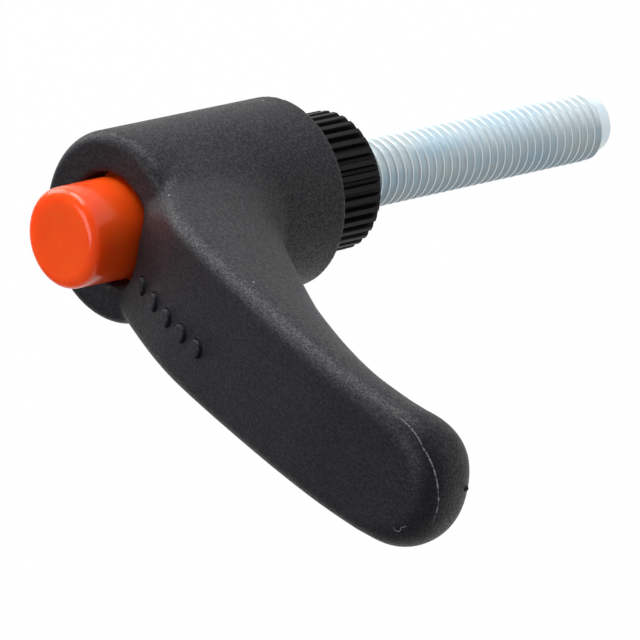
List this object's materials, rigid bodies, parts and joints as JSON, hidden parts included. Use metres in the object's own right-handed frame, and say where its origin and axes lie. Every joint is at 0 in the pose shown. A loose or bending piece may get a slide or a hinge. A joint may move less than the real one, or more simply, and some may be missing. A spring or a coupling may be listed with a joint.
{
  "type": "adjustable clamping lever",
  "caption": "Adjustable clamping lever with a cylindrical hub, a swept handle arm, a push button and a threaded stud; lifting the lever frees its teeth so that it can be re-indexed.",
  "frame": {"origin": "centre of the serrated insert's seating face, on the stud's axis", "axes": "+Z along the stud's axis from the stud's tip towards the push button; the arm reaches along +X"},
  "size_m": [0.0934, 0.0264, 0.1098],
  "materials": {
    "zinc_plated_steel": "bright zinc plate with a faint blue cast",
    "black_oxide_steel": "black oxide, dull",
    "spring_steel": "drawn wire",
    "orange_plastic": "glossy orange",
    "black_plastic": "matt charcoal, fine moulded grain"
  },
  "bodies": {
    "base": {"threaded_stud": "zinc_plated_steel", "serrated_insert": "black_oxide_steel", "retaining_screw": "zinc_plated_steel", "retaining_washer": "zinc_plated_steel", "return_spring": "spring_steel"},
    "carrier": {"thrust_washer": "zinc_plated_steel"},
    "lever": {"lever_body": "black_plastic"},
    "button": {"push_button": "orange_plastic"}
  },
  "joints": [
    {"name": "lever_lift", "type": "slide", "parent": "base", "child": "carrier", "axis": [0, 0, 1], "range_m": [0, 0.004], "stiffness_N_per_m": 1500, "springref_m": -0.004, "deforming": ["return_spring"]},
    {"name": "lever_turn", "type": "hinge", "parent": "carrier", "child": "lever", "pos_m": [0, 0, 0.03], "axis": [0, 0, 1], "continuous": true},
    {"name": "button_press", "type": "slide", "parent": "lever", "child": "button", "axis": [0, 0, -1], "range_m": [0, 0.004]}
  ],
  "couplings": [
    {"joint": "button_press", "follows": "lever_lift", "ratio": 1}
  ]
}
